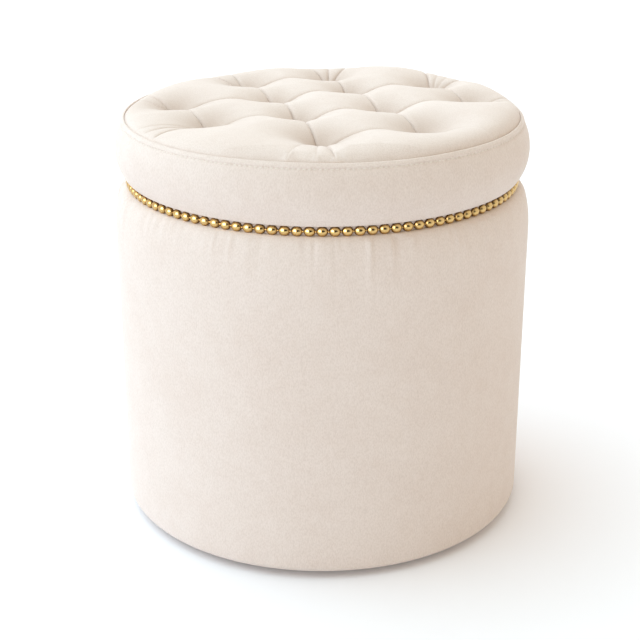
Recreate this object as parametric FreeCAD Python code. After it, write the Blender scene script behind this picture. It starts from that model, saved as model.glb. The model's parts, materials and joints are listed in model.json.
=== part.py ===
import FreeCAD, Part
import math
import os

Vector = FreeCAD.Vector
up = Vector(0, 0, 1)
across = Vector(1, 0, 0)

# A round storage pouf: an upholstered drum on a wooden frame, and a loose tufted lid that lifts off.
# All sizes are in millimetres. The floor is z = 0 and the axis of the pouf is the z axis.

# Cloth and the clearances between layers
cover_thickness = 1.2
lining_thickness = 0.8
dust_cover_thickness = 0.5
layer_gap = 0.3
wood_gap = 0.2
hole_clearance = 0.1

# Body of the pouf, measured on the outside of its cover
body_radius = 200.0
body_height = 338.6
glide_height = 5.0
foam_wrap_thickness = 15.0
bottom_edge_radius = 8.0
nail_band_height = 11.2
shoulder_height = 46.0
shoulder_turn = 20.0
hem_width = 36.0
rim_tuck = 14.0
fold_ease = 0.4

# Wooden frame
base_thickness = 12.0
rim_thickness = 18.0
wall_thickness = 3.0
upright_count = 8
first_upright = 22.5
upright_depth = 18.0
upright_width = 40.0
liner_thickness = 2.0
cavity_floor_thickness = 3.0
lining_below_rim = 5.0

# Fasteners
screw_length = 45.0
screw_radius = 2.0
screw_head_radius = 4.0
screw_head_height = 2.5
screw_point = 4.0
staple_width = 10.0
staple_leg = 7.0
staple_wire = 0.8
staple_sink = 0.1
base_staple_count = 36
rim_staple_count = 32
lid_staple_count = 36
base_staple_inset = 10.0
lid_staple_inset = 8.0

# Glides
glide_count = 4
first_glide = 45.0
glide_radius = 12.0
glide_flat_radius = 8.0
glide_bevel_height = 3.0
glide_from_hem_edge = 14.0
glide_nail_radius = 1.2
glide_nail_grip = 9.0
glide_floor = 2.0

# Nailhead trim: every sixth head is a real nail, the rest are domes stamped in a strip
head_count = 108
heads_per_nail = 6
head_radius = 4.6
head_height = 3.5
head_seat = 0.1
head_drop = 6.2
link_radius = 0.8
link_height = 1.0
link_end = 1.8
tab_radius = 2.7
tab_thickness = 0.6
nail_radius = 0.7
nail_length = 12.0
nail_recess = 2.0

# Lid, measured on the outside of its cover
lid_height = 53.6
lid_foot_radius = 189.0
lid_bulge_radius = 197.5
lid_bulge_height = 24.9
seam_radius = 187.0
lip_thickness = 2.4
lip_depth = 7.0
lid_hem_width = 24.0
lid_board_radius = 184.0
lid_board_thickness = 12.0
lid_foam_thickness = 23.4
locator_thickness = 12.0
locator_clearance = 1.6
locator_screw_count = 6
locator_screw_ring = 100.0
locator_screw_length = 20.0

# Tufted top panel
panel_thickness = 1.5
panel_edge_drop = 1.5
panel_skirt = 5.0
crown_height = 16.0
roll_width = 16.6
roll_height = 10.5
roll_bulge = 2.5
fill_gap = 0.5

# Tufts: an inner four and an outer eight, set by hand as they were sewn
inner_tufts = [(58, -9), (27, 73), (-46, 33), (-22, -39)]
outer_tufts = [(145, 26), (111, 94), (7, 137), (-78, 108), (-142, 17), (-104, -57), (-3, -119), (91, -83)]
tuft_depth = 29.0
tuft_radius = 3.0
dimple_radius = 30.0
dimple_bulge = 4.5
pleat_depth = 10.0
pleat_root = 0.6
pleat_reach = 14.0
pleat_bulge = 2.0
cutter_rise = 2.0
twine_radius = 0.8
twine_hole_radius = 2.2
stitch_radius = 2.0
stitch_height = 1.0
knot_radius = 2.5
knot_height = 0.8
washer_radius = 9.0
washer_thickness = 2.0
washer_pocket_depth = 3.2
washer_pocket_radius = 10.0

# Radii that follow from the layers, from the outside in
wall_outer = body_radius - cover_thickness - foam_wrap_thickness - 2 * layer_gap
wall_inner = wall_outer - wall_thickness
frame_radius = wall_inner - wood_gap
frame_inner = frame_radius - upright_depth
groove_radius = wall_outer + layer_gap + cover_thickness
tuck_radius = frame_inner - layer_gap - cover_thickness
liner_outer = frame_inner - layer_gap
lining_outer = liner_outer - liner_thickness - layer_gap
cavity_radius = lining_outer - lining_thickness
hem_radius = frame_radius - hem_width
glide_ring = hem_radius + glide_from_hem_edge

# Heights that follow from the layers, from the floor up
hem_z = glide_height + dust_cover_thickness + layer_gap
base_z = hem_z + cover_thickness + layer_gap
base_top = base_z + base_thickness
cavity_floor_top = base_top + cavity_floor_thickness
rim_top = body_height - cover_thickness - layer_gap
rim_z = rim_top - rim_thickness
crease_z = body_height - nail_band_height
shoulder_z = crease_z - shoulder_height
nail_z = body_height - head_drop
lid_z = body_height + layer_gap
board_z = lid_z + cover_thickness + layer_gap
board_top = board_z + lid_board_thickness
foam_z = board_top + layer_gap
foam_top = foam_z + lid_foam_thickness
fill_z = foam_top + layer_gap
bulge_z = lid_z + lid_bulge_height
seam_z = lid_z + lid_height
locator_z = board_z - locator_thickness
locator_radius = cavity_radius - locator_clearance
panel_radius = seam_radius - lip_thickness
panel_z = seam_z - panel_edge_drop
apex_z = panel_z + crown_height
tuft_z = apex_z - tuft_depth


def point(radius, height):
    return Vector(radius, 0, height)


def turned_point(centre, radius, angle):
    turn = math.radians(angle)
    return centre + Vector(radius * math.cos(turn), 0, radius * math.sin(turn))


def run(*points):
    # Straight edges through points in the plane of the profile
    return [Part.LineSegment(a, b).toShape() for a, b in zip(points, points[1:])]


def bend(centre, radius, start, end):
    # One arc about a centre, between two angles in degrees
    stations = [turned_point(centre, radius, angle) for angle in (start, (start + end) / 2, end)]
    return [Part.Arc(*stations).toShape()]


def bulged(a, b, bulge):
    # One arc from a to b whose middle stands off the chord, to the left of the way from a to b
    chord = b - a
    side = Vector(-chord.z, 0, chord.x).normalize()
    return [Part.Arc(a, (a + b) * 0.5 + side * bulge, b).toShape()]


def face_of(edges):
    return Part.Face(Part.Wire(Part.__sortEdges__(edges)))


def turned(edges):
    return face_of(edges).revolve(Vector(), up, 360)


def closed_run(*points):
    return run(*points, points[0])


def ring(inner, outer, bottom, top):
    corners = point(inner, bottom), point(outer, bottom), point(outer, top), point(inner, top)
    return turned(closed_run(*corners))


def disc(radius, bottom, top, x=0.0, y=0.0):
    return Part.makeCylinder(radius, top - bottom, Vector(x, y, bottom), up)


def spun(shape, angle):
    copy = shape.copy()
    copy.rotate(Vector(), up, angle)
    return copy


def around(shape, count, first=0.0):
    # Copies of a shape, evenly spaced round the axis
    return [spun(shape, first + 360.0 * k / count) for k in range(count)]


def save(name, shape):
    shape.exportStep(os.path.join("parts", name + ".step"))
    print(name, len(shape.Solids), round(shape.Volume), shape.isValid())


# Fasteners

def screw(length, extra=0.0):
    # A countersunk wood screw standing on its head at the origin, point upwards
    shank = screw_radius + extra
    head = screw_head_radius + extra
    return turned(closed_run(point(0, 0), point(head, 0), point(shank, screw_head_height),
                             point(shank, length - screw_point), point(0, length + extra)))


def upright_screw(top_end, extra=0.0):
    # The screw that holds an upright: through the rim from above, or through the base from below
    body = screw(screw_length, extra)
    if top_end:
        body.rotate(Vector(), across, 180)
    middle = (frame_radius + frame_inner) / 2
    body.translate(Vector(middle, 0, rim_top if top_end else base_z))
    return body


def locator_screws(extra=0.0):
    body = screw(locator_screw_length, extra)
    body.translate(Vector(locator_screw_ring, 0, locator_z))
    return around(body, locator_screw_count)


def staple():
    # A staple with its crown along y at the origin and its legs pointing up
    half = staple_width / 2
    wire = staple_wire
    outline = [(-half, 0), (half, 0), (half, staple_leg), (half - wire, staple_leg), (half - wire, wire),
               (wire - half, wire), (wire - half, staple_leg), (-half, staple_leg)]
    corners = [Vector(-wire / 2, y, z) for y, z in outline]
    return Part.Face(Part.makePolygon(corners + corners[:1])).extrude(across * wire)


def staple_ring(count, radius, height, sideways=False):
    body = staple()
    if sideways:
        body.rotate(Vector(), Vector(0, 1, 0), 90)
    body.translate(Vector(radius, 0, height))
    return Part.makeCompound(around(body, count))


# Frame of the body

def glide_nail(extra=0.0):
    return disc(glide_nail_radius + extra, glide_floor, base_z + glide_nail_grip, glide_ring)


def glide_nail_holes():
    return around(glide_nail(hole_clearance), glide_count, first_glide)


def base_board():
    holes = around(upright_screw(False, hole_clearance), upright_count, first_upright)
    return disc(frame_radius, base_z, base_top).cut(holes + glide_nail_holes())


def rim_ring():
    holes = around(upright_screw(True, hole_clearance), upright_count, first_upright)
    return ring(frame_inner, frame_radius, rim_z, rim_top).cut(holes + nail_holes())


def upright():
    # A plank between base and rim, rounded to the wall outside and to the liner inside
    corner = Vector(0, -upright_width / 2, base_top)
    plank = Part.makeBox(body_radius, upright_width, rim_z - base_top, corner)
    plank = plank.common(ring(frame_inner, frame_radius, base_top, rim_z))
    return plank.cut([upright_screw(False, hole_clearance), upright_screw(True, hole_clearance)])


def wall_sheet():
    return ring(wall_inner, wall_outer, base_z, rim_top).cut(nail_holes())


def glide():
    # A flat foot with a bevelled edge
    lower = point(0, 0), point(glide_flat_radius, 0), point(glide_radius, glide_bevel_height)
    upper = point(glide_radius, glide_height), point(0, glide_height)
    body = turned(closed_run(*lower, *upper))
    body.translate(Vector(glide_ring, 0, 0))
    return body.cut(glide_nail(hole_clearance))


# Upholstery of the body

def two_arc_quarter(width, height, turn):
    # Radii of two arcs, tangent at the turn, that lead from upright to level over a width and a height
    c = math.cos(math.radians(turn))
    s = math.sin(math.radians(turn))
    spread = (1 - c) * (1 - s) - c * s
    first = (width * (1 - s) - height * c) / spread
    second = (height * (1 - c) - width * s) / spread
    return first, second


def body_side(inset):
    # The body's side set in by a distance: under the edge, up the wall and over the shoulder to the crease
    flank, crest = two_arc_quarter(body_radius - groove_radius, shoulder_height, shoulder_turn)
    edge_centre = point(body_radius - bottom_edge_radius, hem_z + bottom_edge_radius)
    flank_centre = point(body_radius - flank, shoulder_z)
    crest_centre = turned_point(flank_centre, flank - crest, shoulder_turn)
    edges = bend(edge_centre, bottom_edge_radius - inset, -90, 0)
    edges += run(point(body_radius - inset, edge_centre.z), point(body_radius - inset, shoulder_z))
    edges += bend(flank_centre, flank - inset, 0, shoulder_turn)
    edges += bend(crest_centre, crest - inset, shoulder_turn, 90)
    return edges


def rim_fold(inset):
    # The cover over the rim, set in by a distance: up behind the nailheads, over the top and down inside
    corner = cover_thickness + fold_ease
    outer = groove_radius - corner
    inner = tuck_radius + corner
    level = body_height - corner
    edges = run(point(groove_radius - inset, crease_z - inset), point(groove_radius - inset, level))
    edges += bend(point(outer, level), corner - inset, 0, 90)
    edges += run(point(outer, body_height - inset), point(inner, body_height - inset))
    edges += bend(point(inner, level), corner - inset, 90, 180)
    edges += run(point(tuck_radius + inset, level), point(tuck_radius + inset, body_height - rim_tuck))
    return edges


def body_cover():
    t = cover_thickness
    foot = body_radius - bottom_edge_radius
    tuck_end = body_height - rim_tuck
    edges = body_side(0) + rim_fold(0) + body_side(t) + rim_fold(t)
    hem_top = hem_z + t
    hem = point(foot, hem_z), point(hem_radius, hem_z), point(hem_radius, hem_top), point(foot, hem_top)
    edges += run(*hem)
    edges += run(point(groove_radius, crease_z - t), point(groove_radius - t, crease_z - t))
    edges += run(point(tuck_radius, tuck_end), point(tuck_radius + t, tuck_end))
    return turned(edges).cut(nail_holes() + glide_nail_holes())


def body_foam():
    inset = cover_thickness + layer_gap
    inner = wall_outer + layer_gap
    top = crease_z - inset
    bottom = hem_z + inset
    edges = body_side(inset)
    edges += run(point(groove_radius, top), point(inner, top), point(inner, bottom),
                 point(body_radius - bottom_edge_radius, bottom))
    return turned(edges)


def dust_cover():
    radius = glide_ring + glide_radius
    return disc(radius, glide_height, glide_height + dust_cover_thickness).cut(glide_nail_holes())


# Nailhead trim

def outward(shape):
    # Lays a shape that points up so that it points out from the axis, on its seat at the nail line
    shape.rotate(Vector(), Vector(0, 1, 0), 90)
    shape.translate(Vector(groove_radius + head_seat, 0, nail_z))
    return shape


def dome():
    # A shallow dome standing on the origin
    foot = point(head_radius, 0)
    top = point(0, head_height)
    ball = (head_radius ** 2 + head_height ** 2) / (2 * head_height)
    lean = math.degrees(math.asin(head_radius / ball))
    centre = point(0, head_height - ball)
    return turned(run(top, point(0, 0), foot) + bend(centre, ball, 90 - lean, 90))


def head_pitch():
    return 2 * (groove_radius + head_seat) * math.tan(math.pi / head_count)


def strip_link():
    # A bar between two heads, which ends inside both
    half = head_pitch() / 2 - link_end
    return outward(Part.makeCylinder(link_radius, 2 * half, Vector(0, -half, link_height), Vector(0, 1, 0)))


def strip_tab():
    # The flat ring of the strip that a nail goes through
    hole = disc(nail_radius + hole_clearance, 0, tab_thickness)
    return outward(disc(tab_radius, 0, tab_thickness).cut(hole))


def nail_shank(extra=0.0):
    return outward(disc(nail_radius + extra, -nail_length, (nail_recess + head_height) / 2))


def nail_holes():
    return around(nail_shank(hole_clearance), head_count // heads_per_nail)


def nailhead_nail():
    # A nail with a hollow head, notched for the strip that runs under it
    notch = 2 * (link_radius + hole_clearance)
    hollow = disc(tab_radius + hole_clearance, 0, nail_recess)
    slot = Part.makeBox(notch, 4 * head_radius, nail_recess, Vector(-notch / 2, -2 * head_radius, 0))
    return outward(dome().cut([hollow, slot])).fuse(nail_shank())


def nailhead_strip():
    step = 360.0 / head_count
    nail_count = head_count // heads_per_nail
    pieces = around(strip_tab(), nail_count) + around(strip_link(), head_count, step / 2)
    for k in range(1, heads_per_nail):
        pieces += around(outward(dome()), nail_count, step * k)
    return pieces[0].fuse(pieces[1:])


# Space under the lid

def cavity_floor():
    return disc(cavity_radius - layer_gap, base_top, cavity_floor_top)


def liner_tube():
    return ring(liner_outer - liner_thickness, liner_outer, base_top, rim_z)


def cavity_lining():
    return ring(cavity_radius, lining_outer, base_top, rim_top - lining_below_rim)


# Lid

def band_arc(inset, start_z, end_z, span_r, span_z):
    # Part of the band's bulge: one arc, upright at its widest, set in by a distance
    radius = (span_r ** 2 + span_z ** 2) / (2 * span_r)
    angles = [math.degrees(math.asin((z - bulge_z) / (radius - inset))) for z in (start_z, end_z)]
    return bend(point(lid_bulge_radius - radius, bulge_z), radius - inset, *angles)


def band_lower(inset, start_z):
    return band_arc(inset, start_z, bulge_z, lid_bulge_radius - lid_foot_radius, lid_bulge_height)


def band_upper(inset, start_z, end_z):
    return band_arc(inset, start_z, end_z, lid_bulge_radius - seam_radius, seam_z - bulge_z)


def ends(edge):
    return edge.Vertexes[0].Point, edge.Vertexes[-1].Point


def side_band():
    # A strip of cover round the lid, turned under the board and doubled at its raised top edge
    t = cover_thickness
    lap_z = seam_z - lip_depth
    lip_z = seam_z - lip_thickness
    skin = band_upper(0, bulge_z, seam_z)
    double = band_upper(lip_thickness, lap_z, lip_z)
    inside = band_upper(t, bulge_z, lap_z)
    below = band_lower(t, lid_z + t)
    hem = lid_board_radius - lid_hem_width
    edges = band_lower(0, lid_z) + skin + double + inside + below
    edges += run(ends(inside[0])[1], ends(double[0])[0])
    edges += bulged(ends(skin[0])[1], ends(double[0])[1], -lip_thickness / 2)
    edges += run(point(lid_foot_radius, lid_z), point(hem, lid_z), point(hem, lid_z + t), ends(below[0])[0])
    return turned(edges)


def tuft_holes(radius, bottom, top):
    return [disc(radius, bottom, top, x, y) for x, y in inner_tufts + outer_tufts]


def lid_board():
    holes = tuft_holes(twine_hole_radius, board_z, board_top)
    pockets = tuft_holes(washer_pocket_radius, board_z, board_z + washer_pocket_depth)
    return disc(lid_board_radius, board_z, board_top).cut(holes + pockets + locator_screws(hole_clearance))


def lid_locator():
    return disc(locator_radius, locator_z, board_z).cut(locator_screws(hole_clearance))


def lid_foam():
    # A slab on the board that also wraps down round the board's edge
    inset = cover_thickness + layer_gap
    inner = lid_board_radius + layer_gap
    lower = band_lower(inset, board_z)
    upper = band_upper(inset, bulge_z, foam_top)
    edges = lower + upper
    edges += run(ends(upper[0])[1], point(0, foam_top), point(0, foam_z), point(inner, foam_z),
                 point(inner, board_z), ends(lower[0])[0])
    return turned(edges).cut(tuft_holes(tuft_radius, foam_z, foam_top))


# Tufted top

def crown(inset):
    # The top's crown, lowered and drawn in by a distance: a rolled edge, then a shallow dome to the axis
    rim = point(panel_radius - inset, panel_z - inset)
    roll = rim + Vector(-roll_width, 0, roll_height)
    rise = crown_height - roll_height
    ball = (roll.x ** 2 + rise ** 2) / (2 * rise)
    lean = math.degrees(math.asin(roll.x / ball))
    centre = point(0, apex_z - inset - ball)
    return bulged(rim, roll, -roll_bulge) + bend(centre, ball, 90 - lean, 90)


def dimple(x, y):
    # The hollow over one tuft: a small flat floor with sides that swell out to the crown
    floor = point(tuft_radius, tuft_z)
    top = point(dimple_radius, apex_z + cutter_rise)
    edges = run(point(0, top.z), point(0, tuft_z), floor) + bulged(floor, top, dimple_bulge)
    edges += run(top, point(0, top.z))
    body = turned(edges)
    body.translate(Vector(x, y, 0))
    return body


def pleat(start, end):
    # The crease between two tufts: a groove with a narrow root and sides that swell out to the crown
    way = Vector(*end) - Vector(*start)
    root_z = apex_z - pleat_depth
    top_z = apex_z + cutter_rise
    left = [point(-pleat_reach, top_z), point(-pleat_root, root_z)]
    right = [point(pleat_root, root_z), point(pleat_reach, top_z)]
    edges = bulged(left[0], left[1], pleat_bulge) + run(left[1], right[0])
    edges += bulged(right[0], right[1], pleat_bulge) + run(right[1], left[0])
    body = face_of(edges).extrude(Vector(0, way.Length, 0))
    body.rotate(Vector(), up, math.degrees(math.atan2(way.y, way.x)) - 90)
    body.translate(Vector(*start))
    return body


def pleat_lines():
    # Pairs of points joined by a pleat: round the inner four, from them to the outer eight, between
    # the outer pairs, and from each outer tuft straight out to the seam
    lines = []
    for k, tuft in enumerate(inner_tufts):
        lines.append((tuft, inner_tufts[k - 1]))
        lines.append((tuft, outer_tufts[2 * k - 1]))
        lines.append((tuft, outer_tufts[2 * k]))
        lines.append((outer_tufts[2 * k], outer_tufts[2 * k + 1]))
    for x, y in outer_tufts:
        out = seam_radius / math.hypot(x, y)
        lines.append(((x, y), (x * out, y * out)))
    return lines


def tuft_cutters(drop):
    cutters = [dimple(x, y) for x, y in inner_tufts + outer_tufts]
    cutters += [pleat(start, end) for start, end in pleat_lines()]
    for cutter in cutters:
        cutter.translate(Vector(0, 0, -drop))
    return cutters


def tufted(edges, drop):
    return turned(edges).cut(tuft_cutters(drop))


def panel_form(inset, bottom):
    radius = panel_radius - inset
    edges = crown(inset) + run(point(radius, panel_z - inset), point(radius, bottom),
                               point(0, bottom), point(0, apex_z - inset))
    return tufted(edges, inset)


def top_panel():
    # A shell of even height whose skirt hangs inside the lip, with its tufts reaching lower than the skirt
    t = panel_thickness
    outside = panel_form(0, tuft_z - t)
    inside = panel_form(t, tuft_z - 2 * t)
    below_skirt = ring(panel_radius - 2 * t, seam_radius, tuft_z - 2 * t, panel_z - panel_skirt)
    return outside.cut([inside, below_skirt])


def lid_fill():
    inset = panel_thickness + fill_gap
    side_inset = lip_thickness + layer_gap
    shelf_z = panel_z - panel_skirt - layer_gap
    side = band_upper(side_inset, fill_z, shelf_z)
    radius = panel_radius - inset
    edges = crown(inset) + side
    edges += run(ends(side[0])[1], point(radius, shelf_z), point(radius, panel_z - inset))
    edges += run(ends(side[0])[0], point(0, fill_z), point(0, apex_z - inset))
    return tufted(edges, inset)


def tuft_twine(x, y):
    # A twine from the stitch under a tuft, through foam and board, to a knot under its washer
    stitch_top = tuft_z - panel_thickness
    washer_z = board_z + washer_pocket_depth - washer_thickness
    twine = disc(twine_radius, washer_z - knot_height, stitch_top, x, y)
    stitch = disc(stitch_radius, stitch_top - stitch_height, stitch_top, x, y)
    knot = disc(knot_radius, washer_z - knot_height, washer_z, x, y)
    return twine.fuse([stitch, knot])


def tuft_washer(x, y):
    top = board_z + washer_pocket_depth
    bottom = top - washer_thickness
    return disc(washer_radius, bottom, top, x, y).cut(disc(twine_radius + hole_clearance, bottom, top, x, y))


def at_tufts(maker):
    return Part.makeCompound([maker(x, y) for x, y in inner_tufts + outer_tufts])


def main():
    os.makedirs("parts", exist_ok=True)
    save("base_board", base_board())
    save("rim_ring", rim_ring())
    save("wall_sheet", wall_sheet())
    for k, shape in enumerate(around(upright(), upright_count, first_upright)):
        save("upright_%d" % (k + 1), shape)
    save("base_screws", Part.makeCompound(around(upright_screw(False), upright_count, first_upright)))
    save("rim_screws", Part.makeCompound(around(upright_screw(True), upright_count, first_upright)))
    for k, shape in enumerate(around(glide(), glide_count, first_glide)):
        save("glide_%d" % (k + 1), shape)
    save("glide_nails", Part.makeCompound(around(glide_nail(), glide_count, first_glide)))
    save("body_foam", body_foam())
    save("body_cover", body_cover())
    save("base_staples", staple_ring(base_staple_count, hem_radius + base_staple_inset, hem_z + staple_sink))
    save("rim_staples", staple_ring(rim_staple_count, tuck_radius + staple_sink,
                                    body_height - rim_thickness / 2, sideways=True))
    save("dust_cover", dust_cover())
    save("nailhead_strip", nailhead_strip())
    save("nailhead_nails", Part.makeCompound(around(nailhead_nail(), head_count // heads_per_nail)))
    save("cavity_floor", cavity_floor())
    save("liner_tube", liner_tube())
    save("cavity_lining", cavity_lining())
    save("lid_board", lid_board())
    save("lid_locator", lid_locator())
    save("locator_screws", Part.makeCompound(locator_screws()))
    save("lid_lining", disc(locator_radius, locator_z - lining_thickness, locator_z))
    save("lid_staples", staple_ring(lid_staple_count, lid_board_radius - lid_hem_width + lid_staple_inset,
                                    lid_z + staple_sink))
    save("lid_foam", lid_foam())
    save("side_band", side_band())
    save("tuft_twines", at_tufts(tuft_twine))
    save("tuft_washers", at_tufts(tuft_washer))
    save("lid_fill", lid_fill())
    save("top_panel", top_panel())


main()
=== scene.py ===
import bpy
import json
import math
import numpy as np
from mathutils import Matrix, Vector
from mathutils.geometry import delaunay_2d_cdt


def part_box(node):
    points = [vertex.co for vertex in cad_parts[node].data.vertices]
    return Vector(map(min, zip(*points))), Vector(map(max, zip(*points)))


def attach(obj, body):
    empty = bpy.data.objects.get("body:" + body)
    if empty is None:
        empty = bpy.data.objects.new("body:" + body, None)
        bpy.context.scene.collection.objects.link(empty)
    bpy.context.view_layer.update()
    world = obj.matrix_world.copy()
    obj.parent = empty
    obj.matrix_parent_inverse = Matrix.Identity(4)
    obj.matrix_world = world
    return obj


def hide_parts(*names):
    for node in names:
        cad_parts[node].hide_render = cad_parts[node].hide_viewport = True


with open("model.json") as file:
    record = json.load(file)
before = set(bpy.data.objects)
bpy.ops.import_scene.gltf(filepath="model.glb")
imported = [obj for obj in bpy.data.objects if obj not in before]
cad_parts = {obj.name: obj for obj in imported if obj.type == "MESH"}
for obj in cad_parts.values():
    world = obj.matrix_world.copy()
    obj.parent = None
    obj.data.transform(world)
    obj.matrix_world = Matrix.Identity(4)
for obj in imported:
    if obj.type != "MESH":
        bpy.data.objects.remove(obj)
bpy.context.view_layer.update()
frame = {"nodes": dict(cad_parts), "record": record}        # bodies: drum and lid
nodes = frame["nodes"]
rng = np.random.default_rng(11)
mm = 0.001
print("frame loaded:", len(nodes), "nodes")

# Sizes shared by the pieces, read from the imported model
coverOnWall = 1.5 * mm       # from the wall to the cover's outside, where it lies flat behind the nailheads
panelReach = 2.6 * mm        # the tufted cloth goes this far past its solid, to the foot of the raised edge
drumLow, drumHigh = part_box("body_cover")
stripLow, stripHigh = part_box("nailhead_strip")
drumRadius, rimTop = drumHigh[0], drumHigh[2]
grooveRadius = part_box("wall_sheet")[1][0] + coverOnWall
headZ = (stripLow[2] + stripHigh[2]) / 2
lidBottom, seamTop = [corner[2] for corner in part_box("side_band")]
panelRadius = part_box("top_panel")[1][0] + panelReach


# Mesh helpers

def gridFaces(rows, cols, wrapRows=False, wrapCols=False):
    # quads between neighbouring rows and columns of a grid numbered row by row
    i, j = np.meshgrid(np.arange(rows if wrapRows else rows - 1),
                       np.arange(cols if wrapCols else cols - 1), indexing="ij")
    iNext, jNext = (i + 1) % rows, (j + 1) % cols
    quads = [i * cols + j, i * cols + jNext, iNext * cols + jNext, iNext * cols + j]
    return np.stack(quads, -1).reshape(-1, 4)


def tubeFaces(rings, sides):
    # faces of a closed tube whose points go ring by ring, with an end cap at each end
    caps = [list(range(sides - 1, -1, -1)), list(range((rings - 1) * sides, rings * sides))]
    return gridFaces(rings, sides, False, True).tolist() + caps


def repeated(faces, size, count, start=0):
    # the same faces for each of several copies of a shape, whose points follow each other
    return [[v + start + size * k for v in face] for k in range(count) for face in faces]


def makePiece(name, points, faces, material, body, replaced=()):
    mesh = bpy.data.meshes.new(name)
    mesh.from_pydata(np.asarray(points, float).reshape(-1, 3).tolist(), [], [list(f) for f in faces])
    mesh.polygons.foreach_set("use_smooth", np.ones(len(mesh.polygons), bool))
    mesh.update()
    piece = bpy.data.objects.new(name, mesh)
    bpy.context.scene.collection.objects.link(piece)
    mesh.materials.append(material)
    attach(piece, body)
    if replaced:
        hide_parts(*replaced)
    print("made", name, len(mesh.vertices), "points")
    return piece


def spread(a, b, count):
    # points from a to b, without b
    t = np.linspace(0, 1, count, endpoint=False)[:, None]
    return np.array(a) * (1 - t) + np.array(b) * t


def arcRow(centre, radius, start, end, count):
    # points on an arc between two angles in degrees, without the last
    t = np.radians(np.linspace(start, end, count, endpoint=False))
    return np.stack([centre[0] + radius * np.cos(t), centre[1] + radius * np.sin(t)], -1)


def turnedLoop(loop, theta, outset, lift=0.0):
    # a closed loop of (radius, height) carried round the axis; outset and lift move each point (rows: loop)
    r = loop[:, :1] + outset
    z = loop[:, 1:] + lift + 0 * r
    return np.stack([r * np.cos(theta), r * np.sin(theta), z], -1)


def turns(count, seamAt=None, extra=24, reach=0.06):
    # angles round the axis, with more of them beside a seam
    theta = np.linspace(0, 2 * np.pi, count, endpoint=False)
    if seamAt is None:
        return theta
    near = seamAt + reach * np.sign(np.linspace(-1, 1, extra)) * np.linspace(-1, 1, extra) ** 2
    return np.unique(np.concatenate([theta, near % (2 * np.pi)]))


def angleFrom(theta, middle):
    return (theta - middle + np.pi) % (2 * np.pi) - np.pi


def valley(away, width):
    # cross-section of a crease between two swelling pillows: two quarter rounds that meet in a cusp
    u = np.clip(away / width, 0, 1)
    return 1 - np.sqrt(1 - (1 - u) ** 2)


# Material helpers

def startMaterial(name, colour, roughness, metallic=0.0):
    material = bpy.data.materials.new(name)
    material.use_nodes = True
    tree = material.node_tree
    shader = tree.nodes["Principled BSDF"]
    shader.inputs["Base Color"].default_value = (*colour, 1)
    shader.inputs["Roughness"].default_value = roughness
    shader.inputs["Metallic"].default_value = metallic
    return material, tree, shader


def addNode(tree, kind, inputs=None, **settings):
    node = tree.nodes.new(kind)
    for key, value in settings.items():
        setattr(node, key, value)
    for key, value in (inputs or {}).items():
        if isinstance(value, bpy.types.NodeSocket):
            tree.links.new(value, node.inputs[key])
        else:
            node.inputs[key].default_value = value
    return node


def objectCoords(tree, stretch=(1, 1, 1)):
    coords = addNode(tree, "ShaderNodeTexCoord").outputs["Object"]
    return addNode(tree, "ShaderNodeMapping", {"Vector": coords, "Scale": stretch}).outputs[0]


def noise(tree, coords, scale, detail=2.0, rough=0.5):
    return addNode(tree, "ShaderNodeTexNoise", {"Vector": coords, "Scale": scale, "Detail": detail,
                                                "Roughness": rough}).outputs["Fac"]


def ramp(tree, factor, *stops):
    # colour stops: (place, (r, g, b))
    node = addNode(tree, "ShaderNodeValToRGB", {"Fac": factor})
    elements = node.color_ramp.elements
    while len(elements) < len(stops):
        elements.new(0.5)
    for element, (place, colour) in zip(elements, stops):
        element.position = place
        element.color = (*colour, 1)
    return node.outputs["Color"]


def blendColour(tree, factor, a, b, kind="MIX"):
    node = addNode(tree, "ShaderNodeMix", data_type="RGBA", blend_type=kind)
    for socket, value in ((node.inputs["Factor"], factor), (node.inputs[6], a), (node.inputs[7], b)):
        if isinstance(value, bpy.types.NodeSocket):
            tree.links.new(value, socket)
        else:
            socket.default_value = value if isinstance(value, float) else (*value, 1)
    return node.outputs[2]


def maths(tree, operation, a, b=0.0):
    return addNode(tree, "ShaderNodeMath", {0: a, 1: b}, operation=operation).outputs[0]


def bump(tree, height, distance, strength=1.0, under=None):
    inputs = {"Height": height, "Distance": distance, "Strength": strength}
    if under is not None:
        inputs["Normal"] = under
    return addNode(tree, "ShaderNodeBump", inputs).outputs["Normal"]


# Finishes

suedeLook = dict(pale=(0.855, 0.762, 0.713), deep=(0.825, 0.723, 0.669), grainPerMetre=950.0, sheen=0.25,
                 creaseShade=(0.47, 0.35, 0.27))


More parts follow.
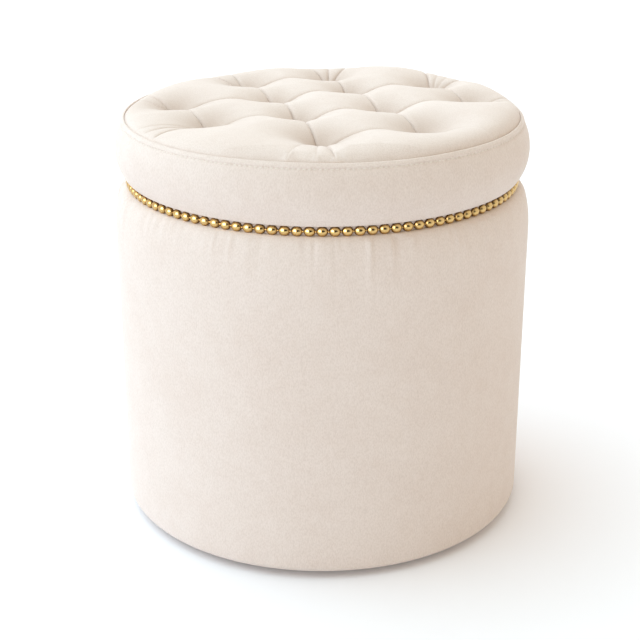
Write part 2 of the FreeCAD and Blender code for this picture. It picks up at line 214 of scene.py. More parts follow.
def suede():
    # short-nap ivory cloth: cloudy tone, fine grain that also stands up as bump, a soft sheen, and painted
    # shade read from the piece's own attribute
    material, tree, shader = startMaterial("ivorySuede", suedeLook["pale"], 0.92)
    coords = objectCoords(tree)
    upright = objectCoords(tree, stretch=(1, 1, 0.45))
    cloud = noise(tree, coords, 14, 4, 0.6)
    mottle = noise(tree, coords, 75, 3, 0.6)
    grain = noise(tree, upright, suedeLook["grainPerMetre"], 2, 0.6)
    tone = maths(tree, "ADD", maths(tree, "MULTIPLY", cloud, 0.6), maths(tree, "MULTIPLY", mottle, 0.4))
    colour = ramp(tree, tone, (0.36, suedeLook["deep"]), (0.58, suedeLook["pale"]))
    fleck = ramp(tree, grain, (0.30, (0.90, 0.885, 0.87)), (0.62, (1.0, 1.0, 1.0)))
    colour = blendColour(tree, 1.0, colour, fleck, "MULTIPLY")
    # painted shade: the colour goes toward the dark creaseShade tone wherever the piece's paintedShade
    # attribute is set
    paintedShade = addNode(tree, "ShaderNodeAttribute", attribute_name="paintedShade").outputs["Fac"]
    tree.links.new(blendColour(tree, paintedShade, colour, suedeLook["creaseShade"]), shader.inputs["Base Color"])
    nap = noise(tree, coords, 380, 3, 0.7)
    normal = bump(tree, nap, 0.25 * mm, 0.5)
    normal = bump(tree, grain, 0.16 * mm, 0.8, normal)
    tree.links.new(normal, shader.inputs["Normal"])
    shader.inputs["Sheen Weight"].default_value = suedeLook["sheen"]
    shader.inputs["Sheen Roughness"].default_value = 0.45
    shader.inputs["Specular IOR Level"].default_value = 0.2
    return material


brassLook = dict(base=(0.80, 0.56, 0.20), bright=(0.66, 0.44, 0.175), shadedPatina=(0.42, 0.26, 0.095),
                 foot=(0.25, 0.14, 0.05), stainPerMetre=900.0, stainShare=0.12, smooth=0.17, dull=0.36)


def brass():
    # polished brass, browner and darker towards the foot of each head, read from the piece's own attribute:
    # partly patina, partly painted shade and painted dark reflection at the edges
    look = brassLook
    material, tree, shader = startMaterial("agedBrass", look["base"], 0.2, 1.0)
    rimward = addNode(tree, "ShaderNodeAttribute", attribute_name="rimward").outputs["Fac"]
    stain = noise(tree, objectCoords(tree), look["stainPerMetre"], 3, 0.6)
    patinaAndShade = maths(tree, "ADD", rimward, maths(tree, "MULTIPLY", stain, look["stainShare"]))
    colour = ramp(tree, patinaAndShade, (0.70, look["bright"]), (0.94, look["shadedPatina"]), (1.0, look["foot"]))
    tree.links.new(colour, shader.inputs["Base Color"])
    rough = addNode(tree, "ShaderNodeMapRange", {"Value": patinaAndShade, "From Min": 0.5, "From Max": 1.1,
                                                 "To Min": look["smooth"], "To Max": look["dull"]}).outputs[0]
    tree.links.new(rough, shader.inputs["Roughness"])
    tree.links.new(bump(tree, stain, 0.01 * mm, 0.2), shader.inputs["Normal"])
    return material


def woven(name, light, dark, threadsPerMetre, roughness=0.9):
    # plain weave on the piece's own UV map, which is in metres
    material, tree, shader = startMaterial(name, light, roughness)
    uv = addNode(tree, "ShaderNodeTexCoord").outputs["UV"]
    # a wave of scale pi / 10 has one band per metre
    threads = {"Vector": uv, "Scale": threadsPerMetre * math.pi / 10, "Distortion": 1.5, "Detail": 2.0,
               "Detail Scale": 2.0}
    waves = [addNode(tree, "ShaderNodeTexWave", threads, bands_direction=axis) for axis in ("X", "Y")]
    weave = maths(tree, "MAXIMUM", *[wave.outputs["Fac"] for wave in waves])
    slub = noise(tree, uv, 160, 3, 0.6)
    tone = maths(tree, "ADD", maths(tree, "MULTIPLY", weave, 0.6), maths(tree, "MULTIPLY", slub, 0.5))
    tree.links.new(ramp(tree, tone, (0.3, dark), (0.8, light)), shader.inputs["Base Color"])
    tree.links.new(bump(tree, weave, 0.2 * mm, 0.6), shader.inputs["Normal"])
    return material


def feltCloth():
    # black non-woven cloth: matted fibres
    material, tree, shader = startMaterial("dustCloth", (0.03, 0.03, 0.032), 0.95)
    fibres = noise(tree, objectCoords(tree, stretch=(1, 2.5, 1)), 700, 4, 0.75)
    tree.links.new(ramp(tree, fibres, (0.3, (0.015, 0.015, 0.017)), (0.7, (0.06, 0.06, 0.062))),
                   shader.inputs["Base Color"])
    tree.links.new(bump(tree, fibres, 0.2 * mm, 0.6), shader.inputs["Normal"])
    return material


def timber(name, light, dark, ringScale, plies=0.0):
    # long grain along x, and for plywood thin layers that show at the edges
    material, tree, shader = startMaterial(name, light, 0.65)
    along = objectCoords(tree, stretch=(0.12, 1, 1))
    grain = noise(tree, along, ringScale, 5, 0.62)
    pores = noise(tree, objectCoords(tree, stretch=(0.06, 1, 1)), ringScale * 9, 2, 0.6)
    tone = maths(tree, "ADD", maths(tree, "MULTIPLY", grain, 0.75), maths(tree, "MULTIPLY", pores, 0.25))
    colour = ramp(tree, tone, (0.32, dark), (0.62, light))
    if plies:
        stack = {"Vector": objectCoords(tree), "Scale": plies, "Distortion": 0.4}
        layers = addNode(tree, "ShaderNodeTexWave", stack, bands_direction="Z").outputs["Fac"]
        facing = addNode(tree, "ShaderNodeNewGeometry").outputs["Normal"]
        flat = maths(tree, "ABSOLUTE", addNode(tree, "ShaderNodeSeparateXYZ", {0: facing}).outputs["Z"])
        shade = ramp(tree, maths(tree, "MAXIMUM", flat, layers), (0.25, (0.55, 0.5, 0.45)), (0.6, (1, 1, 1)))
        colour = blendColour(tree, 1.0, colour, shade, "MULTIPLY")
    tree.links.new(colour, shader.inputs["Base Color"])
    tree.links.new(bump(tree, tone, 0.15 * mm, 0.4), shader.inputs["Normal"])
    return material


def speckled(name, light, dark, perMetre, roughness, metallic=0.0, height=0.1):
    # a mottled even surface: card, hardboard, foam, plastic, plated steel
    material, tree, shader = startMaterial(name, light, roughness, metallic)
    coords = objectCoords(tree)
    speck = noise(tree, coords, perMetre, 4, 0.65)
    wear = noise(tree, coords, perMetre / 12, 3, 0.6)
    tone = maths(tree, "ADD", maths(tree, "MULTIPLY", speck, 0.6), maths(tree, "MULTIPLY", wear, 0.4))
    tree.links.new(ramp(tree, tone, (0.35, dark), (0.62, light)), shader.inputs["Base Color"])
    tree.links.new(bump(tree, speck, height * mm, 0.4), shader.inputs["Normal"])
    return material


finishes = {
    "cover_suede": suede(),
    "lining_cloth": woven("liningCloth", (0.62, 0.53, 0.42), (0.42, 0.34, 0.26), 900),
    "dust_cloth": feltCloth(),
    "plywood": timber("birchPly", (0.70, 0.53, 0.34), (0.50, 0.34, 0.19), 60, plies=110),
    "softwood": timber("planedPine", (0.74, 0.55, 0.33), (0.52, 0.33, 0.16), 45),
    "hardboard": speckled("hardboard", (0.26, 0.15, 0.08), (0.17, 0.09, 0.045), 1500, 0.55),
    "card": speckled("linerCard", (0.42, 0.32, 0.22), (0.31, 0.23, 0.15), 1200, 0.9),
    "foam": speckled("cutFoam", (0.82, 0.74, 0.50), (0.66, 0.56, 0.34), 1600, 1.0, height=0.5),
    "fibre_wadding": speckled("wadding", (0.86, 0.86, 0.84), (0.72, 0.72, 0.70), 900, 1.0, height=0.6),
    "brass_plate": brass(),
    "zinc_steel": speckled("zincPlate", (0.66, 0.66, 0.68), (0.50, 0.50, 0.52), 2000, 0.32, 1.0, height=0.02),
    "glide_plastic": speckled("glidePlastic", (0.035, 0.03, 0.03), (0.02, 0.018, 0.018), 2500, 0.5,
                              height=0.04),
    "twine": speckled("waxedTwine", (0.90, 0.85, 0.78), (0.80, 0.73, 0.65), 3000, 0.6),
}
for part in frame["record"]["subparts"]:
    slots = nodes[part["node"]].data.materials
    slots.clear()
    slots.append(finishes[part["material_slot"]])
print("finishes made:", len(finishes))


# Body cover

bodyLook = dict(edgeRound=8 * mm, hemInner=144 * mm, thickness=1.2 * mm, creaseDrop=10.0 * mm,
                shoulder=46 * mm, shoulderPower=2.24, rimWidth=19.5 * mm, rimRound=2 * mm, tuck=14 * mm,
                puckers=230, puckerWidth=3 * mm, puckerLength=13 * mm, puckerHeight=2.2 * mm,
                gatherHeight=0.4 * mm, gatherLength=7 * mm, creaseFade=4 * mm, footFade=6 * mm, sway=0.5 * mm,
                seamAt=math.radians(90), around=896)
# an upright sewn join in a cover: a narrow dip in a low rise
joinLook = dict(dip=0.7 * mm, dipWidth=0.9 * mm, bodyRise=0.35 * mm, bodyWidth=5 * mm, bandRise=0.3 * mm,
                bandWidth=4 * mm)


def bodyLoop():
    # outside: hem, rounded foot, straight side, superellipse shoulder, flat behind the heads, over the rim
    look = bodyLook
    t, bend = look["thickness"], look["rimRound"]
    creaseZ = rimTop - look["creaseDrop"]
    foot = drumRadius - look["edgeRound"]
    hemZ = drumLow[2]
    turn = np.linspace(0, 1, 34, endpoint=False) ** 0.8 * (np.pi / 2)
    power = 2 / look["shoulderPower"]
    shoulder = np.stack([grooveRadius + (drumRadius - grooveRadius) * np.cos(turn) ** power,
                         creaseZ - look["shoulder"] + look["shoulder"] * np.sin(turn) ** power], -1)
    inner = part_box("rim_ring")[1][0] - look["rimWidth"]
    outside = [spread((look["hemInner"], hemZ), (foot, hemZ), 8),
               arcRow((foot, hemZ + look["edgeRound"]), look["edgeRound"], -90, 0, 8),
               spread((drumRadius, hemZ + look["edgeRound"]), (drumRadius, creaseZ - look["shoulder"]), 18),
               shoulder,
               spread((grooveRadius, creaseZ), (grooveRadius, rimTop - bend), 5),
               arcRow((grooveRadius - bend, rimTop - bend), bend, 0, 90, 4),
               spread((grooveRadius - bend, rimTop), (inner + bend, rimTop), 5),
               arcRow((inner + bend, rimTop - bend), bend, 90, 180, 4),
               spread((inner, rimTop - bend), (inner, rimTop - look["tuck"]), 3)]
    inside = [spread((inner + t, rimTop - look["tuck"]), (inner + t, rimTop - t), 2),
              spread((inner + t, rimTop - t), (grooveRadius - t, rimTop - t), 3),
              spread((grooveRadius - t, rimTop - t), (grooveRadius - t, creaseZ - t), 2),
              spread((grooveRadius - t, creaseZ - t), (grooveRadius - t, hemZ + 2 * t), 3),
              spread((grooveRadius - t, hemZ + t), (look["hemInner"], hemZ + t), 3)]
    return np.concatenate(outside + inside), sum(len(row) for row in outside[:4])


def puckerField(theta, below, count, width, length, height):
    # sum of soft folds: each a bell across the angle, fading with the distance below its line
    places = rng.uniform(0, 2 * np.pi, count)
    widths = rng.uniform(0.6, 1.5, count) * width
    lengths = rng.uniform(0.5, 1.8, count) * length
    heights = rng.uniform(-0.6, 1.0, count) * height
    across = np.exp(-(angleFrom(theta[:, None], places) / widths) ** 2) * heights
    down = np.exp(-np.clip(below[:, None], 0, None) / lengths) * (below[:, None] >= -1 * mm)
    return down @ across.T


def sway(theta, z, height, seed):
    # slow unevenness of stuffed cloth: a few waves round the axis that drift with height
    draw = np.random.default_rng(seed)
    waves = np.arange(2, 9)
    phase = draw.uniform(0, 2 * np.pi, len(waves))
    drift = draw.uniform(-9, 9, len(waves))
    size = draw.uniform(0.3, 1.0, len(waves)) * height / np.sqrt(waves)
    angle = waves[:, None, None] * theta + phase[:, None, None] + drift[:, None, None] * z[:, None]
    return np.tensordot(size, np.sin(angle), 1)


def sewnJoin(theta, seamAt, radius, rise, width):
    # a bell that rises over the folded allowance, less a narrower bell where the thread draws in
    away = angleFrom(theta, seamAt) * radius
    return rise * np.exp(-(away / width) ** 2) - joinLook["dip"] * np.exp(-(away / joinLook["dipWidth"]) ** 2)


def makeBodyCover():
    # puckers and one small gather per nailhead fade away below the crease
    look = bodyLook
    loop, soft = bodyLoop()
    theta = turns(look["around"], look["seamAt"])
    z = loop[:, 1]
    below = rimTop - look["creaseDrop"] - z
    folds = puckerField(theta, below, look["puckers"], look["puckerWidth"] / drumRadius, look["puckerLength"],
                        look["puckerHeight"])
    fading = look["gatherHeight"] * np.exp(-np.clip(below, 0, None) / look["gatherLength"])[:, None]
    folds = folds + np.cos(headLook["count"] * theta) * fading
    out = folds * np.clip(below / look["creaseFade"], 0, 1)[:, None] + sway(theta, z, look["sway"], 3)
    out = out + sewnJoin(theta, look["seamAt"], drumRadius, joinLook["bodyRise"], joinLook["bodyWidth"])
    rows = np.arange(len(loop))[:, None]
    footFade = np.clip((z - drumLow[2]) / look["footFade"], 0, 1)[:, None]
    out = np.where(rows < soft, out * footFade, 0)
    points = turnedLoop(loop, theta, out)
    faces = gridFaces(len(loop), len(theta), True, True)[:, ::-1]
    piece = makePiece("bodyCover", points, faces, finishes["cover_suede"], "drum",
                      ("body_cover", "body_foam"))
    return piece


# Lid band with its raised edge

bandLook = dict(footRadius=189 * mm, bulgeRadius=197.0 * mm, bulgeHeight=24.9 * mm, seamRadius=189 * mm,
                footRoll=1.6 * mm, footDroop=2.0 * mm, footFade=3 * mm, lip=1.2 * mm, lipSink=0.7,
                lipDepth=5 * mm, backTop=6 * mm, backStep=0.6 * mm, backInset=2 * mm, thickness=1.2 * mm,
                hemInner=160 * mm, fineRows=10 * mm, stitches=261, perStitch=4, stitchDrop=4.4 * mm,
                stitchSink=0.8 * mm, stitchWidth=1.1 * mm, evenPull=0.25, welt=0.8 * mm, waver=0.35 * mm,
                waverFade=3 * mm, sway=0.5 * mm, swayTop=8 * mm, swayFade=10 * mm,
                seamAt=math.radians(84))


def bandOutside(height):
    # radius of the band at a height: two arcs that are upright at the widest place, rolled in at the foot
    look = bandLook
    widest = lidBottom + look["bulgeHeight"]
    lower = look["bulgeRadius"] - look["footRadius"], widest - lidBottom
    upper = look["bulgeRadius"] - look["seamRadius"], seamTop - widest
    bends = [(a * a + b * b) / (2 * a) for a, b in (lower, upper)]
    bend = np.where(height < widest, bends[0], bends[1])
    rolled = look["footRoll"] * valley(height - lidBottom + look["footDroop"], look["footRoll"])
    return look["bulgeRadius"] - bend + np.sqrt(np.maximum(bend ** 2 - (height - widest) ** 2, 0)) - rolled


def bandLoop():
    look = bandLook
    t, lip = look["thickness"], look["lip"]
    lipZ = seamTop - lip * look["lipSink"]
    low, fine = lidBottom - look["footDroop"], lipZ - look["fineRows"]
    rolled = low + look["footRoll"] * np.linspace(0, 1, 7, endpoint=False) ** 2
    heights = np.concatenate([rolled, np.linspace(low + look["footRoll"], fine, 24, endpoint=False),
                              np.linspace(fine, lipZ, 18, endpoint=False)])
    side = np.stack([bandOutside(heights), heights], -1)
    top = (float(bandOutside(np.array(lipZ))) - lip, lipZ)
    inner = top[0] - lip
    back = look["seamRadius"] - look["backInset"]
    tuck = (side[0][0] - look["footDroop"], lidBottom)
    outside = [spread((look["hemInner"], lidBottom), tuck, 6), spread(tuck, side[0], 3), side,
               arcRow(top, lip, 0, 180, 9)]
    inside = [spread((inner, lipZ), (inner, lipZ - look["lipDepth"]), 4),
              spread((inner + look["backStep"], lipZ - look["backTop"]), (back, lidBottom + 2 * t), 4),
              spread((back, lidBottom + t), (look["hemInner"], lidBottom + t), 3)]
    first = len(outside[0]) + len(outside[1])
    return np.concatenate(outside + inside), first, sum(len(row) for row in outside)


def makeSideBand():
    look = bandLook
    loop, first, last = bandLoop()
    theta = turns(look["stitches"] * look["perStitch"], look["seamAt"])
    z = loop[:, 1]
    stitchZ = seamTop - look["stitchDrop"]
    out = sway(theta, z, look["sway"], 5)
    out = out * np.clip((seamTop - look["swayTop"] - z) / look["swayFade"], 0, 1)[:, None]
    # the stitched line is a groove, deepest at the holes between one stitch and the next
    line = np.exp(-((z - stitchZ) / look["stitchWidth"]) ** 2)[:, None]
    holes = (0.5 + 0.5 * np.cos(look["stitches"] * theta)) ** 2
    pulls = look["evenPull"] + (1 - look["evenPull"]) * holes
    # the strip between stitches and seam is a low welt: half a sine wave across its height
    welt = np.sin(np.pi * np.clip((z - stitchZ) / look["stitchDrop"], 0, 1))[:, None]
    out = out - look["stitchSink"] * line * pulls + look["welt"] * welt
    waver = sway(theta, np.zeros(len(z)), look["waver"], 8)
    aboveStitch = np.clip((z - stitchZ) / look["waverFade"], 0, 1)[:, None]
    out = out + sewnJoin(theta, look["seamAt"], look["bulgeRadius"], joinLook["bandRise"],
                         joinLook["bandWidth"])
    rows = np.arange(len(loop))[:, None]
    soft = (rows >= first) & (rows < last)
    aboveFoot = np.clip((z - lidBottom + look["footDroop"]) / look["footFade"], 0, 1)[:, None]
    out = np.where(soft, out * aboveFoot, 0)
    points = turnedLoop(loop, theta, out, np.where(soft, waver * aboveStitch, 0))
    faces = gridFaces(len(loop), len(theta), True, True)[:, ::-1]
    piece = makePiece("sideBand", points, faces, finishes["cover_suede"], "lid",
                      ("side_band", "lid_foam"))
    return piece


# Tufted top

innerTufts = np.array([(58, -9), (27, 73), (-46, 33), (-22, -39)]) * mm
outerTufts = np.array([(145, 26), (111, 94), (7, 137), (-78, 108),
                       (-142, 17), (-104, -57), (-3, -119), (91, -83)]) * mm
# reach of the hollow round each tuft
innerReach = np.array([17, 17, 17, 17]) * mm
outerReach = np.array([24, 19, 22, 22, 26, 27, 25, 29]) * mm
# fine folds from the outer tufts to the seam: tuft, turn round the axis at the seam in degrees, strength
rimFoldList = [(0, -11, 0.7), (0, -5, 1.0), (0, 1, 0.9), (1, -2, 1.0), (1, 4, 0.25), (1, 9, 0.3),
               (1, 15, 0.9), (2, -6, 0.9), (2, 1, 0.8), (2, 8, 1.2), (3, -4, 0.8), (3, 5, 1.1),
               (4, -13, 1.1), (4, -6, 0.7), (5, -3, 0.4), (5, 2, 0.7), (5, 8, 1.3), (6, -8, 0.25),
               (6, 0, 0.25), (6, 5, 1.0), (7, 6, 0.2)]
topLook = dict(spacing=1.8 * mm, creaseRows=(0.8 * mm, 1.9 * mm), rowGap=0.9 * mm, creaseGap=2.6 * mm,
               rimShare=0.7, alongShare=0.8, besideShare=0.5, rowEnd=0.995,
               edgeDrop=0.6 * mm, tuftDrop=17 * mm, pleatTop=6.6 * mm, rimPleatTop=1.2 * mm, archPower=1.75,
               swell=0.43, rimEase=1.5 * mm, funnelPower=1.2, lean=0.05, leanTo=math.radians(30),
               roll=6.0 * mm, rollPeak=16 * mm, rollTo=math.radians(8), foldPull=40.0, foldDepth=1.7 * mm,
               foldWidth=7 * mm, foldSlit=0.4, slitDepth=4.0 * mm, slitWidth=1.2 * mm, slitMiddle=0.2,
               foldSkew=0.7, foldBlunt=0.6, rimFade=6 * mm, shadeSpotSize=9 * mm, shadeTone=0.50, shadeReach=1.15,
               bottomInset=0.8 * mm, clear=0.2 * mm)
onLine = 0.05 * mm           # points this near to a crease lie on it
onRimLine = 0.01 * mm        # and points this near to the rim lie on that


def pleatLines():
    # tuft to tuft: round the inner four, from them to the outer eight, and between the outer pairs
    pairs = []
    for k in range(4):
        pairs += [(innerTufts[k], innerTufts[k - 1]), (innerTufts[k], outerTufts[2 * k - 1]),
                  (innerTufts[k], outerTufts[2 * k]), (outerTufts[2 * k], outerTufts[2 * k + 1])]
    return np.array(pairs)


def rimFolds():
    # each fold runs straight from its tuft to a place on the seam
    which, swing, strength = np.array(rimFoldList).T
    tuft = outerTufts[which.astype(int)]
    heading = np.arctan2(tuft[:, 1], tuft[:, 0]) + np.radians(swing)
    end = panelRadius * np.stack([np.cos(heading), np.sin(heading)], -1)
    return np.stack([tuft, end], 1), strength


def alongAndAway(points, lines):
    # for each point and line: the share of the way along the line, and the distance from it
    a, b = lines[:, 0], lines[:, 1]
    way = b - a
    share = ((points[:, None] - a) * way).sum(-1) / (way ** 2).sum(-1)
    share = np.clip(share, 0, 1)
    away = np.linalg.norm(points[:, None] - (a + share[..., None] * way), axis=-1)
    return share, away


def membrane(plan, faces, held, heights, load=0.0, springs=0.0, rounds=900, close=1e-12, least=1e-22):
    # sheet stretched over the plan: held points keep their heights, load pushes up, springs pull to zero;
    # solved by conjugate gradients with a weight per edge from the angles that face it
    tri = np.array(faces)
    total = len(plan)
    i, j, weight, share = [], [], [], np.zeros(total)
    for a, b, c in ((0, 1, 2), (1, 2, 0), (2, 0, 1)):
        one, two = plan[tri[:, a]] - plan[tri[:, c]], plan[tri[:, b]] - plan[tri[:, c]]
        area = np.abs(one[:, 0] * two[:, 1] - one[:, 1] * two[:, 0])
        i.append(tri[:, a])
        j.append(tri[:, b])
        weight.append(0.5 * (one * two).sum(1) / np.maximum(area, 1e-12))
        share += np.bincount(tri[:, c], area / 6, total)
    i, j, weight = np.concatenate(i), np.concatenate(j), np.concatenate(weight)
    stiff = np.bincount(i, weight, total) + np.bincount(j, weight, total) + springs

    def pull(x):
        return stiff * x - np.bincount(i, weight * x[j], total) - np.bincount(j, weight * x[i], total)

    x = np.where(held, heights, 0.0)
    left = np.where(held, 0, load * share - pull(x))
    way = left / stiff
    size = left @ way
    for step in range(rounds):
        pushed = np.where(held, 0, pull(way))
        stride = size / (way @ pushed)
        x = x + stride * way
        left = left - stride * pushed
        eased = left / stiff
        newSize = left @ eased
        if newSize < close * abs(size) or newSize < least:
            break
        way = eased + newSize / size * way
        size = newSize
    return x


def onNearest(points, lines):
    # the line nearest to each point: its number, the share of the way along it, and the distance from it
    share, away = alongAndAway(points, lines)
    nearest, row = away.argmin(1), np.arange(len(points))
    return nearest, share[row, nearest], away[row, nearest]


def topHeight(plan, faces, pleats, folds, strength):
    # base: a sheet held at the seam and along the pleats, which arch up from tuft to tuft;
    # on it each pillow swells as the square root of a sheet blown up between the same lines,
    # and a roll runs along the seam, both less near a tuft;
    # then narrow folds to the seam, and a slit where two pillows press together; beside the heights it gives
    # painted shade, darkest in the slits and at the tufts and lighter in the hollows
    look = topLook
    radius = np.linalg.norm(plan, axis=1)
    fromRim = np.clip(panelRadius - radius, 0, None)
    onRim = fromRim < onRimLine
    along, away = onNearest(plan, pleats)[1:]
    held = onRim | (away < onLine)
    arch = np.clip(1 - np.abs(2 * along - 1) ** look["archPower"], 0, 1) ** (1 / look["archPower"])
    top = look["pleatTop"] + (look["rimPleatTop"] - look["pleatTop"]) * (radius / panelRadius) ** 2
    crease = np.where(onRim, 0, (top + look["tuftDrop"]) * arch - look["tuftDrop"])
    base = membrane(plan, faces, held, crease)
    nearTuft = look["slitMiddle"] + (1 - look["slitMiddle"]) * (2 * along - 1) ** 2
    slit = np.exp(-(away / look["slitWidth"]) ** 2) * nearTuft
    fold, along, away = onNearest(plan, folds)
    springs = np.where(away < onLine, strength[fold] * look["foldPull"] * look["spacing"], 0)
    blown = np.maximum(membrane(plan, faces, held, 0 * radius, 1.0, springs), 0)
    tufts = np.concatenate([innerTufts, outerTufts])
    reach = np.concatenate([innerReach, outerReach])
    fromTufts = np.linalg.norm(plan[:, None] - tufts, axis=-1)
    turn = np.arctan2(plan[:, 1], plan[:, 0])
    lean = 1 + look["lean"] * np.cos(turn - look["leanTo"]) * radius / panelRadius
    rise = look["swell"] * lean * np.sqrt(blown * fromRim / (fromRim + look["rimEase"]))
    hump = np.sqrt(fromRim / look["rollPeak"]) * np.exp(0.5 - 0.5 * fromRim / look["rollPeak"])
    rise = rise + look["roll"] * (0.5 + 0.5 * np.cos(turn - look["rollTo"])) * hump
    rise = rise * (1 - np.exp(-(fromTufts / reach) ** look["funnelPower"])).min(1)
    # a fold is deepest a good third of the way out from its tuft, and fades at both ends
    deep = strength[fold] * np.sin(np.pi * along ** look["foldSkew"]) ** look["foldBlunt"]
    slit = np.maximum(slit, look["foldSlit"] * deep * np.exp(-(away / look["slitWidth"]) ** 2))
    sink = look["foldDepth"] * deep * valley(away, look["foldWidth"]) + look["slitDepth"] * slit
    sink = sink * np.clip(fromRim / look["rimFade"], 0, 1)
    # painted shade: the cloth is darkened in the slits, at the tufts and less so in the hollow round each,
    # where shade falls among the pillows
    creaseShade = np.exp(-(fromTufts.min(1) / look["shadeSpotSize"]) ** 2)
    shade = look["shadeTone"] * np.exp(-(fromTufts / (look["shadeReach"] * reach)) ** 2).max(1)
    paintedShade = np.clip(np.maximum(np.maximum(slit, creaseShade), shade), 0, 1)
    # the cloth stops just above the twines that hold it down
    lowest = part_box("tuft_twines")[1][2] + look["clear"]
    return np.maximum(seamTop - look["edgeDrop"] + base + rise - sink, lowest), paintedShade


def topPlan(lines):
    # flat triangles over the disc, with an edge along every crease and finer rows beside it
    look = topLook
    step = look["spacing"]
    number = np.arange(-int(panelRadius / step) - 2, int(panelRadius / step) + 3)
    gx, gy = np.meshgrid(number * step, number * step * math.sqrt(3) / 2)
    gx = gx + (number % 2)[:, None] * step / 2
    field = np.stack([gx.ravel(), gy.ravel()], -1)
    field = field[np.linalg.norm(field, axis=1) < panelRadius - look["rimShare"] * step]
    field = field[alongAndAway(field, lines)[1].min(1) > look["creaseGap"]]
    near, far = look["creaseRows"]
    count = int(2 * np.pi * panelRadius / step)
    angle = np.linspace(0, 2 * np.pi, count, endpoint=False)
    rim = panelRadius * np.stack([np.cos(angle), np.sin(angle)], -1)
    points, edges = [rim, field], [np.stack([np.arange(count), (np.arange(count) + 1) % count], -1)]
    start = count + len(field)
    for k, (a, b) in enumerate(lines):
        steps = max(3, int(np.linalg.norm(b - a) / (look["alongShare"] * step)))
        row = a + np.linspace(0, look["rowEnd"], steps)[:, None] * (b - a)
        points.append(row)
        edges.append(np.stack([np.arange(steps - 1), np.arange(1, steps)], -1) + start)
        start += steps
        across = np.array([a[1] - b[1], b[0] - a[0]]) / np.linalg.norm(b - a)
        beside = np.concatenate([row[1:-1] + across * off for off in (-far, -near, near, far)])
        others = np.delete(lines, k, 0)
        clear = alongAndAway(beside, others)[1].min(1) > look["rowGap"]
        within = np.linalg.norm(beside, axis=1) < panelRadius - look["besideShare"] * step
        beside = beside[clear & within]
        points.append(beside)
        start += len(beside)
    flat = [Vector(p) for p in np.concatenate(points).tolist()]
    result = delaunay_2d_cdt(flat, np.concatenate(edges).tolist(), [], 1, 1e-6)
    return np.array([v[:] for v in result[0]]), [list(f) for f in result[2]]


def makeTopPanel():
    look = topLook
    pleats, (folds, strength) = pleatLines(), rimFolds()
    plan, faces = topPlan(np.concatenate([pleats, folds]))
    z, paintedShade = topHeight(plan, faces, pleats, folds, strength)
    top = np.column_stack([plan, z])
    rim = np.where(np.linalg.norm(plan, axis=1) > panelRadius - onRimLine)[0]
    rim = rim[np.argsort(np.arctan2(plan[rim, 1], plan[rim, 0]))]
    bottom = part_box("lid_fill")[0][2] + look["clear"]
    inset = plan[rim] * (1 - look["bottomInset"] / panelRadius)
    under = np.column_stack([inset, np.full(len(rim), bottom)])
    below = len(top) + np.arange(len(rim))
    skirt = np.stack([rim, below, np.roll(below, -1), np.roll(rim, -1)], -1)
    faces = faces + skirt.tolist() + [below[::-1].tolist()]
    piece = makePiece("topPanel", np.concatenate([top, under]), faces, finishes["cover_suede"], "lid",
                      ("top_panel", "lid_fill"))
    # painted shade for the suede, one value per point; none on the skirt and the underside
    attribute = np.concatenate([paintedShade, np.zeros(len(under))])
    piece.data.attributes.new("paintedShade", "FLOAT", "POINT").data.foreach_set("value", attribute)
    return piece


# Topstitching round the band

stitchLook = dict(length=3.2 * mm, radius=0.42 * mm, proud=0.02 * mm, sinkShare=0.4, blunt=0.004, rings=7,
                  sides=6)


def makeStitches():
    # each stitch is a short spindle: a tube whose radius swells and closes along its length
    look = stitchLook
    count, rings, sides = bandLook["stitches"], look["rings"], look["sides"]
    z = seamTop - bandLook["stitchDrop"]
    ring = float(bandOutside(np.array(z))) - look["sinkShare"] * bandLook["stitchSink"] + look["proud"]
    along = np.linspace(-1, 1, rings)
    turn = np.linspace(0, 2 * np.pi, sides, endpoint=False)
    width = np.sqrt(np.maximum(1 - along ** 4, look["blunt"])) * look["radius"]
    x = ring + width[:, None] * np.cos(turn)
    y = along[:, None] * look["length"] / 2 + 0 * turn
    h = z + width[:, None] * np.sin(turn)
    angle = (np.arange(count) + 0.5) * 2 * np.pi / count
    c, s = np.cos(angle)[:, None, None], np.sin(angle)[:, None, None]
    points = np.stack([x * c - y * s, x * s + y * c, h + 0 * c], -1)
    faces = repeated(tubeFaces(rings, sides), rings * sides, count)
    return makePiece("topStitching", points, faces, finishes["twine"], "lid")


# Nailhead trim

headLook = dict(count=108, perNail=6, width=5.3 * mm, tall=4.65 * mm, height=4.2 * mm, seat=0.1 * mm,
                tip=0.02, under=0.3 * mm, underShare=0.9, sides=16, rings=5, linkRadius=0.8 * mm,
                linkHeight=1.0 * mm, linkOverlap=0.85, linkRings=3, linkSides=10, linkTone=0.5)


def headPoints(look):
    # dome by rings: half an ellipsoid, a little wider along the strip than tall; the last ring turns under
    tilt = np.linspace(look["tip"], np.pi / 2, look["rings"])
    out = np.append(look["height"] * np.cos(tilt), -look["under"])
    wide = np.append(np.sin(tilt), look["underShare"])
    turn = np.linspace(0, 2 * np.pi, look["sides"], endpoint=False)
    x = out[:, None] + 0 * turn
    y = look["width"] * wide[:, None] * np.cos(turn)
    z = look["tall"] * wide[:, None] * np.sin(turn)
    # patina with painted shade and painted dark reflection: zero at the crown, one at the foot and on the
    # ring that turns under
    dark = np.append(np.sin(tilt), 1.0)[:, None] + 0 * turn
    return np.stack([x, y, z], -1).reshape(-1, 3), dark.ravel()


def placedRound(shape, angles):
    # copies of a shape that points along x, set on the nail line at each angle
    base = shape + np.array([grooveRadius + headLook["seat"], 0, headZ])
    c, s = np.cos(angles)[:, None], np.sin(angles)[:, None]
    x, y = base[:, 0], base[:, 1]
    return np.stack([x * c - y * s, x * s + y * c, base[:, 2] + 0 * c], -1)


